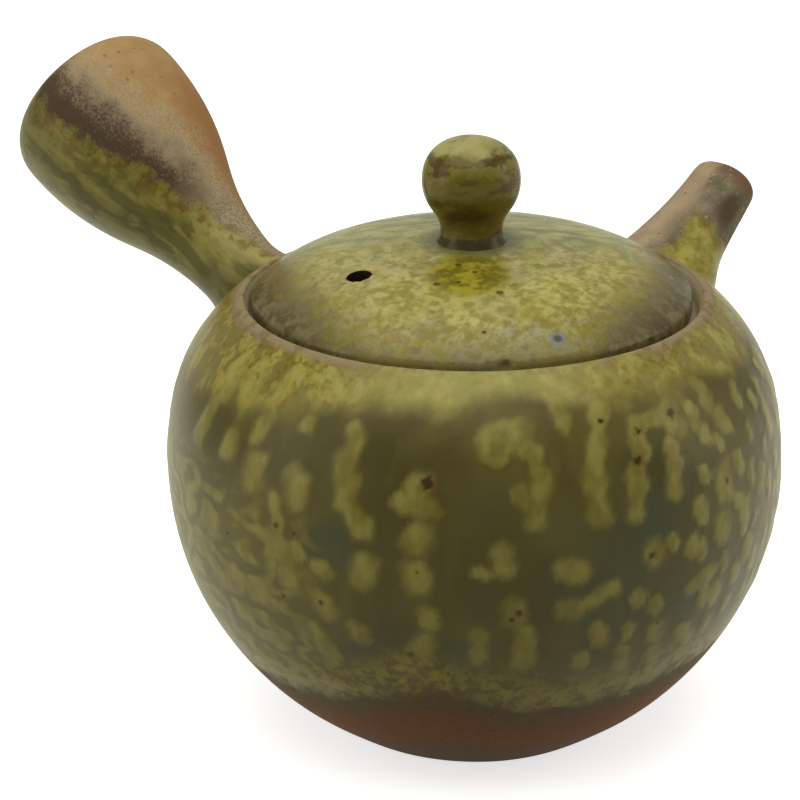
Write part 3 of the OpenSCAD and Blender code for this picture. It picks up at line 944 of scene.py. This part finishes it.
# %% [markdown]
# ## The runny glaze of the body
# From the lip down: a bare brown rim, ochre flecks where the glaze thins over the edge, a yellow-green band
# on the shoulder, then the olive ground with its paler runs and blue-grey pools. Under the glaze line the
# clay is bare, mauve-grey at first and reddish towards the foot. One noise could mix two greens all over,
# but such a pot is known by the order of its bands, so each is laid over the last by a share of its own. The
# ground and its runs come first.

# %% Body: the ground, the pools and the runs
def on_wall(turn_deg, height):
    """A place on the outside of the wall, in millimetres."""
    out = wall_reach(height)
    return (out * cos(radians(turn_deg)), out * sin(radians(turn_deg)), height)


glaze = Finish("runny_ash_glaze")
run, down, above = glaze.read("run"), glaze.read("down"), glaze.read("above")
grain = glaze.noise(0.8, 3)
cloud = glaze.noise(17, 2)
streak = glaze.noise(5, 2, (1, 1, 4.5))
colour = glaze.lay(glaze.share(cloud, 0.36, 0.64), "4a441b", "5d5627")
pool = glaze.noise(19, 2, (1, 1, 1.5), shift=(0.3, 0, 0))
net, freckled = glaze.read("net"), glaze.read("fleck")
pool = glaze.times(glaze.share(pool, 0.46, 0.64), glaze.share(down, 14, 30))
colour = glaze.lay(glaze.times(pool, glaze.vary(net, 0.62, 0.12)), colour, "3b4430")
colour = glaze.over(colour, net, 0.6, "68622e")
colour = glaze.over(colour, glaze.share(streak, 0.52, 0.7), 0.25, "6b6430")
loops = glaze.noise(15, 2.5, (1, 1, 0.6), shift=(0, 0.1, 0))
loops = glaze.share(glaze.sum(glaze.times(loops, 40.0), 0.0, "SINE"), -1.3, 1.2)
for pool_turn, pool_height in ((-166.3, 45.7), (-159, 28.2), (-142.1, 29.2), (-105.8, 48.5)):
    colour = glaze.over(colour, glaze.spot_at(on_wall(pool_turn, pool_height), 6.0), 0.55, "3a4534")
wet = glaze.sum(run, glaze.times(net, glaze.vary(loops, 0.15, 0.9)), "MAXIMUM")
wet_edge = glaze.ragged(wet, (grain, 0.14), (streak, 0.26))
run_share = glaze.share(wet_edge, 0.1, 0.9)
colour = glaze.over(colour, glaze.read("dark"), 0.25, "3a3410")
run_colour = glaze.lay(glaze.share(glaze.noise(3.0, 3, (1, 1, 1.7)), 0.34, 0.66), "787030", "918a46")
colour = glaze.lay(run_share, colour, run_colour)
print("body glaze so far", len(glaze.tree.nodes), "nodes")

# %% [markdown]
# ## Iron spots
# Grains of iron in the clay melt through the glaze as dark spots with a rusty rim. A Voronoi texture can
# scatter small ones, and does so inside the runs. The larger ones are few, so each has its own place.

# %% Body: iron spots
pin = glaze.times(glaze.share(glaze.spots(6.0), 0.09, 0.05), glaze.share(run, 0.2, 0.6))
colour = glaze.over(colour, pin, 0.7, "4f3a12")
iron_spots = [
    (-148.2, 56.6, 1.15), (-98.9, 62.3, 0.95), (-107.5, 61.3, 0.7), (-109, 57.6, 0.8),
    (-114.9, 63.4, 0.5), (-88.7, 50.7, 0.6), (-107.4, 43.4, 0.7), (-132.3, 37.3, 0.65),
    (-133.5, 36.2, 0.5), (-176.8, 47.2, 0.45), (170.6, 42.8, 0.45), (-172.8, 46.6, 0.45),
    (-176.1, 35.9, 0.45), (-167.8, 36.6, 0.5), (-167.8, 66.2, 0.45), (-151.6, 29.6, 0.7),
]
for spot_turn, spot_height, spot_size in iron_spots:
    middle = on_wall(spot_turn, spot_height)
    colour = glaze.over(colour, glaze.spot_at(middle, spot_size * 1.8, grain), 0.45, "6b4e0f")
    colour = glaze.over(colour, glaze.spot_at(middle, spot_size, grain), 0.88, "2c1f08")
print(len(iron_spots), "iron spots placed")

# %% [markdown]
# ## The shoulder and the rim
# On the shoulder more ash fell, so the glaze is paler there. At the lip it drew away from the edge and left
# bare brown clay, with ochre flecks below it. The gallery inside the lip is painted pale, as painted light
# that lifts the shade in the gap under the lid's edge. The border could be a plain ramp in height, but
# molten glaze has a torn edge, so noise is added to the brushed distance before it is turned into a share.

# %% Body: the shoulder and the rim
band_edge = glaze.ragged(glaze.read("band"), (streak, 5.0))
band = glaze.lay(glaze.share(glaze.noise(2.6, 3), 0.35, 0.65), "9b954f", "aca661")
band = glaze.over(band, freckled, 0.6, "998d30")
broken = glaze.share(glaze.noise(3.6, 3, (1, 1, 1.8), shift=(0.2, 0, 0)), 0.36, 0.6)
broken = glaze.sum(broken, glaze.vary(freckled, 1.0, 0.35), "MAXIMUM")
colour = glaze.lay(glaze.times(glaze.share(band_edge, -2.5, 2.5), glaze.times(broken, 0.95)), colour, band)
rim = glaze.read("rim")
flecks = glaze.ragged(glaze.noise(1.5, 3, (1, 1, 2.2), shift=(0, 0.2, 0)), (grain, 0.3))
flecks = glaze.times(glaze.share(flecks, 0.44, 0.64), freckled)
fleck_share = glaze.times(glaze.share(glaze.ragged(rim, (streak, 6.0)), -11.0, -0.5), flecks)
fleck_colour = glaze.lay(glaze.share(grain, 0.4, 0.6), "866a0a", "6b5216")
colour = glaze.over(colour, fleck_share, 0.9, fleck_colour)
bare_top = glaze.share(glaze.ragged(rim, (grain, 2.4), (streak, 3.0)), -0.7, 0.8)
rim_clay_and_gallery_light = glaze.lay(glaze.share(down, 2.2, 1.25), glaze.lay(grain, "6b583e", "948263"), "8f7f60")
# the gallery inside the lip is painted pale: painted light that lifts the shade in the gap under the lid's
# edge
rim_clay_and_gallery_light = glaze.lay(glaze.share(down, 1.0, 0.4), rim_clay_and_gallery_light, "b5a684")
stain = glaze.ragged(glaze.noise(3.0, 3, shift=(0.5, 0, 0)), (grain, 0.3))
stained = glaze.times(glaze.share(stain, 0.5, 0.64), glaze.share(down, 0.5, 1.1))
rim_clay_and_gallery_light = glaze.over(rim_clay_and_gallery_light, stained, 0.55, "6a5430")
colour = glaze.lay(bare_top, colour, rim_clay_and_gallery_light)
print("body glaze so far", len(glaze.tree.nodes), "nodes")

# %% [markdown]
# ## The glaze line and the foot
# Under the line the clay is bare, because glaze would stick the foot to the kiln shelf. The glaze ends there
# in crumbs of ochre. Towards the table the bare clay is painted darker, as painted shade under the belly. A
# second material for the foot would give too clean a border, so the line stays a part of this finish, and
# three noises of different size break it up.

# %% Body: the glaze line and the bare foot
crumble = glaze.noise(2.2, 3, shift=(0.1, 0, 0))
level = glaze.ragged(above, (crumble, 5.5), (cloud, 5.0), (grain, 2.5))
border = glaze.times(glaze.share(level, -2.5, 2.5), glaze.share(level, 9.5, 2.5))
border = glaze.times(border, glaze.share(glaze.noise(10, 2, shift=(0, 0.3, 0)), 0.26, 0.44))
border_colour = glaze.lay(glaze.share(glaze.ragged(crumble, (grain, 0.6)), 0.36, 0.6), "5e4e18", "948a34")
bare_foot = glaze.share(level, 1.5, -2.5)
foot_clay_and_shade = glaze.lay(glaze.share(glaze.ragged(above, (cloud, 6.0)), -2.0, -10.0), "574732", "70401f")
# towards the table the bare foot is painted darker: painted shade under the belly
foot_clay_and_shade = glaze.lay(glaze.share(above, -11, -22), foot_clay_and_shade, "44270c")
foot_clay_and_shade = glaze.over(foot_clay_and_shade, glaze.share(grain, 0.52, 0.72), 0.55, "43311f")
colour = glaze.lay(bare_foot, colour, foot_clay_and_shade)
colour = glaze.over(colour, border, 0.85, border_colour)
bare = glaze.sum(bare_top, bare_foot, "MAXIMUM")
roughness = glaze.ragged(glaze.vary(bare, 0.33, 0.64), (grain, 0.16))
relief = glaze.sum(glaze.times(run_share, 0.3), glaze.times(grain, glaze.vary(bare, 0.35, 0.8)))
body.data.materials.append(glaze.close(colour, roughness, relief, 0.1))

# %% [markdown]
# ## The mottled lid
# The lid lay on the pot in the kiln and caught the ash from above, so it is mottled yellow-green all over,
# with a stronger yellow pool in front of the knob, darkened there as painted shadow and reflection of the
# knob, greyer smears behind it, and thin brown glaze towards two sides of the edge. Its underside stays
# bare, so that it doesn't stick to the pot. The body's finish could serve again, but it is made to run down
# a wall, and on the flat lid the glaze lay still.

# %% Lid: the mottled ground
cover = Finish("mottled_ash_glaze")
grain = cover.noise(0.55, 2)
fine = cover.noise(1.3, 3)
mottle = cover.noise(2.8, 3)
cloud = cover.noise(9, 2)
colour = cover.lay(cover.share(cover.ragged(mottle, (fine, 0.7)), 0.32, 0.68), "807938", "b1ab69")
colour = cover.over(colour, cover.share(cover.ragged(cloud, (fine, 0.6)), 0.48, 0.64), 0.6, "969278")
honey = cover.ragged(cover.noise(5, 3, shift=(0.4, 0, 0)), (fine, 0.4))
colour = cover.over(colour, cover.share(honey, 0.54, 0.66), 0.6, "948a33")
colour = cover.over(colour, cover.share(cover.ragged(grain, (mottle, 0.5)), 0.6, 0.74), 0.4, "55491f")
behind, thin = cover.read("behind"), cover.read("thin")
amber = cover.ragged(cover.read("amber"), (mottle, 0.8), (cloud, 0.6))
amber_colour = cover.lay(cover.share(cover.ragged(fine, (mottle, 0.8)), 0.36, 0.64), "948a3a", "bab163")
colour = cover.over(colour, cover.share(amber, 0.1, 0.9), 0.55, amber_colour)
smear = cover.noise(4.2, 2, (3.2, 1, 1), (0, 0, radians(-50)), (0.2, 0, 0), 0.7)
pale = cover.lay(cover.share(mottle, 0.38, 0.62), "9a9a62", "b0af7c")
colour = cover.over(colour, behind, 0.8, pale)
colour = cover.lay(cover.times(behind, cover.times(cover.share(smear, 0.46, 0.62), 0.75)), colour, "5a6042")
worn = cover.ragged(thin, (mottle, 16.0), (fine, 9.0))
ochre = cover.ragged(cover.noise(1.6, 3, shift=(0.3, 0, 0)), (grain, 0.3))
ochre = cover.times(cover.share(worn, -13, -2), cover.share(ochre, 0.46, 0.62))
colour = cover.over(colour, ochre, 0.55, "857418")
brown = cover.lay(cover.share(cover.ragged(mottle, (fine, 0.5)), 0.34, 0.66), "3f3420", "6a6041")
brown = cover.over(brown, cover.share(grain, 0.58, 0.72), 0.35, "8f8762")
colour = cover.over(colour, cover.share(worn, -4.5, 3.5), 0.92, brown)
print("lid glaze so far", len(cover.tree.nodes), "nodes")

# %% [markdown]
# ## The pool, the knob's painted shade and the marks on the lid
# The yellow pool is read from its brushed number, and it is darkened as painted shadow and reflection of
# the knob. The dark ring round the knob's foot, partly pooled glaze and partly painted shade under the knob,
# and the small marks are made from the distance to a place on the dome. They could be brushed on too, but
# some of the marks are hardly wider than a face of the mesh, and a distance in the finish stays sharp.

# %% Lid: the yellow pool with the knob's painted shadow, the ring round the knob and the marks
def on_lid(turn_deg, radius):
    """A place on the dome of the lid, in millimetres."""
    height = CROWN[1] + sqrt(CROWN_R ** 2 - radius ** 2)
    if radius > CROWN_REACH:
        height = DOME[1] + sqrt(DOME_R ** 2 - (radius - DOME[0]) ** 2)
    return (radius * cos(radians(turn_deg)), radius * sin(radians(turn_deg)), height)


# the yellow pool, darker than the glaze alone: painted shadow and reflection of the knob
yellow_pool_and_knob_shade = cover.ragged(cover.read("yellow_pool_and_knob_shade"), (mottle, 1.3), (fine, 0.7))
pool_and_knob_shade_colour = cover.lay(cover.share(cover.ragged(mottle, (fine, 0.6)), 0.35, 0.65), "635808", "978d25")
colour = cover.over(colour, cover.share(yellow_pool_and_knob_shade, 0.25, 0.95), 0.88, pool_and_knob_shade_colour)
# dark ring round the knob's foot: partly pooled glaze, partly painted shade under the knob
ring = cover.ragged(cover.spot_at((0, 0, LID_TOP), 11), (mottle, 0.6))
colour = cover.over(colour, cover.share(ring, 0.2, 0.9), 0.6, "565838")
colour = cover.over(colour, cover.share(cover.spots(3.4), 0.16, 0.07), 0.45, "5c4a18")
# the first mark, a pinhole, is painted near black: painted shade in a pit that the mesh doesn't have
lid_marks = [
    (-137, 29.2, 0.5, "0a0704"), (-116.9, 31.1, 1.9, "757a76"), (-116.9, 31.1, 0.95, "3c3a33"),
    (-151.9, 11.2, 0.7, "4a330c"), (-157.3, 18.2, 0.8, "4a360e"), (-129, 20.4, 0.9, "5a3d12"),
    (-147.7, 17.1, 0.6, "4a360e"), (-139.1, 13.6, 0.6, "4a360e"), (CHIP_TURN, LID_R, 1.05, "2b2115"),
]
for mark_turn, mark_reach, mark_size, mark_colour in lid_marks:
    mark = cover.spot_at(on_lid(mark_turn, mark_reach), mark_size)
    colour = cover.over(colour, mark, 0.9, mark_colour)
under = cover.read("under")
colour = cover.lay(under, colour, cover.lay(grain, "7d5c40", "8f6c4e"))
# the vent's wall, painted dark as shade inside the hole
colour = cover.lay(cover.read("vent"), colour, "2b1a0d")
roughness = cover.ragged(cover.vary(under, 0.27, 0.7), (grain, 0.2))
relief = cover.sum(cover.times(mottle, 0.8), cover.times(grain, 0.6))
lid.data.materials.append(cover.close(colour, roughness, relief, 0.1))

# %% [markdown]
# ## The knob's glaze
# The knob has the same glaze as the lid, but it ran down the small pear: pale on the top and a brown ring
# below it. It is dark round the foot, which is painted shade where the knob meets the lid. Brushed numbers
# could hold that, but the knob stands upright, so the height over the lid is enough.

# %% Knob finish
berry = Finish("knob_ash_glaze")
grain = berry.noise(0.8, 3)
mottle = berry.noise(3.0, 3, (2.0, 2.0, 1))
tall = berry.ragged(berry.sum(berry.height(), -LID_TOP), (mottle, 8.0), (grain, 2.0))
colour = berry.lay(berry.share(tall, 3.0, 10.5), "6d5f24", "6b5f1e")
colour = berry.over(colour, berry.share(tall, 10.6, 11.8), 0.9, "7a7332")
brown = berry.times(berry.share(tall, 12.0, 12.6), berry.share(tall, 14.6, 13.4))
colour = berry.over(colour, brown, 0.9, "4c370d")
crown_colour = berry.lay(berry.share(mottle, 0.4, 0.6), "8d874e", "a29b60")
colour = berry.lay(berry.share(tall, 13.6, 15.0), colour, crown_colour)
patches = berry.noise(2.8, 3, (2.4, 2.4, 1), shift=(0.4, 0, 0))
colour = berry.over(colour, berry.share(patches, 0.5, 0.63), 0.75, "482f08")
colour = berry.over(colour, berry.share(patches, 0.44, 0.36), 0.4, "827c42")
# painted shade where the knob's foot meets the lid
colour = berry.over(colour, berry.share(tall, 2.2, 0.2), 0.8, "302c16")
relief = berry.sum(mottle, berry.times(grain, 0.5))
knob.data.materials.append(berry.close(colour, berry.vary(grain, 0.18, 0.36), relief, 0.1))

# %% [markdown]
# ## Half glazed, half bare: the handle
# Along the glaze edge runs a broken ochre seam, and beyond it the bare clay is scorched dark, then speckled
# grey, and then fades to a warm tan. All of it could be painted on by hand, but it follows from one number,
# the distance to the glaze edge, with noise added. The bare side comes first.

# %% Handle: the bare side
grip = Finish("half_glazed_handle")
edge, reach = grip.read("edge"), grip.read("reach")
lie = tuple(handle_frame.to_euler())
grain = grip.noise(0.4, 2)
mottle = grip.noise(3.6, 3)
streaks = grip.noise(3.0, 2, (1, 1, 4.5), lie, (0.1, 0.2, 0), 0.6)
rough_edge = grip.ragged(edge, (grip.noise(2.2, 3), 4.0), (streaks, 3.5))
clay = grip.lay(grip.share(mottle, 0.3, 0.7), "a38253", "ad8d60")
clay = grip.over(clay, grip.share(grip.spots(2.6), 0.16, 0.08), 0.7, "7a5430")
speckle = grip.ragged(rough_edge, (grain, 11.0), (mottle, 6.0))
shifted = grip.sum(speckle, grip.vary(grip.share(reach, 64, 82), -2.0, 0.0))
neck = grip.share(reach, 77, 66)
dust = grip.lay(grip.share(grain, 0.3, 0.7), "938167", "b4a284")
neck_dust = grip.lay(grip.share(grain, 0.3, 0.7), "756a50", "bab08e")
dust = grip.over(dust, neck, 0.9, neck_dust)
clay = grip.over(clay, grip.share(shifted, -16.5, -6), 0.92, dust)
flank_line = grip.sum(edge, grip.vary(grip.share(reach, 94, 66), 0.0, -12.0))
warm = grip.share(grip.ragged(flank_line, (grain, 5.0), (mottle, 4.0)), -14, -23)
warm = grip.times(grip.times(warm, grip.share(reach, 98, 85)), grip.share(reach, 54, 59))
clay = grip.over(clay, warm, 0.9, "976b40")
scorched = grip.sum(shifted, grip.vary(grip.share(reach, 78, 95), 0.0, 2.0))
scorched = grip.times(grip.share(scorched, -8.5, -1.0), grip.vary(neck, 1.0, 0.3))
clay = grip.over(clay, scorched, 0.95, grip.lay(grain, "362617", "473526"))
print("handle clay so far", len(grip.tree.nodes), "nodes")

# %% [markdown]
# ## The glazed side of the handle
# The glaze has long darker streaks that ran along the handle. Plain noise has no direction, so theirs is
# turned to the handle's axis and stretched along it. The glaze is then laid over the clay by the ragged edge.

# %% Handle: the glazed side
green = grip.lay(grip.share(grip.ragged(mottle, (grain, 0.3)), 0.34, 0.66), "615a26", "88813f")
inner = grip.share(edge, 2.0, 6.0)
green = grip.lay(grip.times(grip.share(reach, 66, 56), inner), green, "5c5728")
# pale glaze near the neck, with a painted highlight on it
pale_glaze_and_highlight = grip.times(grip.share(reach, 70, 63), grip.share(edge, 5.0, 2.5))
green = grip.over(green, pale_glaze_and_highlight, 0.75, "a29c5e")
green = grip.over(green, grip.times(grip.share(streaks, 0.5, 0.58), inner), 0.75, "4a4920")
green = grip.over(green, grip.share(streaks, 0.46, 0.38), 0.65, "979150")
root = grip.times(grip.share(edge, 5.0, 8.5), grip.share(reach, 66, 61))
green = grip.over(green, root, 0.65, "47441d")
green = grip.over(green, grip.share(reach, 86, 97), 0.25, "4a471c")
ran = grip.ragged(grip.read("ran"), (streaks, 0.6), (mottle, 0.4))
green = grip.over(green, grip.share(ran, 0.15, 0.8), 0.7, "454319")
blots = grip.noise(1.7, 3)
seam = grip.times(grip.share(rough_edge, 5.0, 1.0), grip.share(blots, 0.4, 0.56))
seam_colour = grip.lay(grip.share(blots, 0.5, 0.6), "82701f", "644a12")
green = grip.over(green, seam, 0.75, seam_colour)
glazed = grip.share(grip.ragged(rough_edge, (grain, 1.5)), -1.2, 1.0)
colour = grip.lay(glazed, clay, green)
roughness = grip.ragged(grip.vary(glazed, 0.66, 0.35), (grain, 0.16))
relief = grip.sum(grip.times(grain, 0.45), grip.times(glazed, 0.8))
handle.data.materials.append(grip.close(colour, roughness, relief, 0.1))

# %% [markdown]
# ## The bare spout
# The spout is bare but for one patch of glaze. Its upper side is a smooth pinkish brown, the side that faced
# the ash is speckled grey with one scorched place, and the tip is redder. It is made as the handle is, from
# brushed numbers with noise. The handle's own finish isn't used again, as hardly a tone is the same.

# %% Spout finish
tube = Finish("bare_spout")
edge, reach = tube.read("edge"), tube.read("reach")
grain = tube.noise(0.4, 2)
mottle = tube.noise(3.2, 3)
slant = tube.noise(3.0, 3, (1, 1, 2.5), tuple(spout_frame.to_euler()), (0.1, 0, 0))
clay = tube.lay(tube.share(mottle, 0.3, 0.7), "9b866a", "ab977a")
clay = tube.over(clay, tube.share(tube.spots(2.6), 0.15, 0.07), 0.7, "6b4c32")
grey = tube.ragged(tube.read("grey"), (grain, 0.8), (mottle, 1.0), (slant, 1.0))
ash = tube.lay(tube.share(tube.ragged(mottle, (grain, 0.5)), 0.3, 0.7), "5c5340", "837963")
clay = tube.over(clay, tube.share(grey, 0.1, 0.85), 0.9, ash)
specks = tube.times(tube.share(tube.spots(1.5, (0.2, 0.1, 0)), 0.24, 0.1), tube.share(grey, 0.1, 0.6))
clay = tube.over(clay, specks, 0.45, "b3a890")
tip = tube.times(tube.share(tube.ragged(reach, (mottle, 4.0)), 75.0, 78.5), tube.read("grey"))
clay = tube.over(clay, tip, 0.85, "7b5032")
scorch = tube.ragged(tube.read("scorch"), (grain, 0.4), (mottle, 0.6), (slant, 0.8))
clay = tube.over(clay, tube.share(scorch, 0.1, 1.1), 0.85, "443219")
leaf = tube.lay(tube.share(tube.ragged(mottle, (grain, 0.3)), 0.34, 0.66), "857c2a", "a49b4a")
blots = tube.noise(1.7, 3, shift=(0, 0.2, 0))
rough_edge = tube.ragged(edge, (mottle, 5.0), (blots, 3.5))
leaf = tube.over(leaf, tube.share(blots, 0.52, 0.64), 0.4, "6b5a16")
leaf = tube.over(leaf, tube.share(rough_edge, 2.6, 0.4), 0.5, "665218")
glazed = tube.share(tube.ragged(rough_edge, (grain, 1.5)), -0.8, 0.8)
colour = tube.lay(glazed, clay, leaf)
roughness = tube.ragged(tube.vary(glazed, 0.66, 0.35), (grain, 0.16))
relief = tube.sum(tube.times(grain, 0.45), tube.times(glazed, 0.8))
spout.data.materials.append(tube.close(colour, roughness, relief, 0.1))

# %% [markdown]
# ## The strainer
# The pierced dome sits inside the pot behind the spout, where no glaze reaches it. It could be modelled again
# with a Boolean for each hole, but the packed node already has that shape, so it only gets the bare clay.

# %% Strainer finish
biscuit = Finish("bare_clay", 0.2)
grain = biscuit.noise(0.8, 3)
colour = biscuit.lay(biscuit.share(biscuit.noise(5, 2), 0.35, 0.65), "7a5940", "8c694c")
colour = biscuit.lay(biscuit.share(grain, 0.58, 0.75), colour, "553d2a")
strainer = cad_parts["strainer"]
strainer.data.materials.clear()
strainer.data.materials.append(biscuit.close(colour, biscuit.vary(grain, 0.6, 0.8), grain, 0.06))

# %% [markdown]
# ## Setting the lid down
# A lid that is put back by hand never sits quite in the middle of its seat. It has a little play in the
# throat, so the lid and its knob are set down slightly to one side. The objects could be moved, but they have
# to stay at the origin to ride on their body, so their meshes move.

# %% Nudge the lid
PLAY = 0.3
LID_SIDE = Vector((-0.643, 0.766, 0))
nudge = Matrix.Translation(LID_SIDE * PLAY * MM)
for piece in (lid, knob):
    piece.data.transform(nudge)
print("lid set aside by", PLAY, "mm of its", round(THROAT_R - FLANGE_R, 2), "mm play")

# %% [markdown]
# ## Handing the pieces to the bodies
# The pot's pieces ride on the pot, and the lid and its knob on the cover, which lifts off. Parenting in
# Blender could do that, but these calls also hide the packed node that each piece stands for.

# %% Ride on the bodies and hide the packed nodes
for piece, node, rides_on, finish in (
    (body, "body", "pot", "pot_glaze"),
    (spout, "spout", "pot", "spout_clay"),
    (handle, "handle", "pot", "handle_clay"),
    (lid, "lid", "cover", "lid_glaze"),
    (knob, "knob", "cover", "knob_glaze"),
):
    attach(piece, rides_on)
    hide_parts(node)
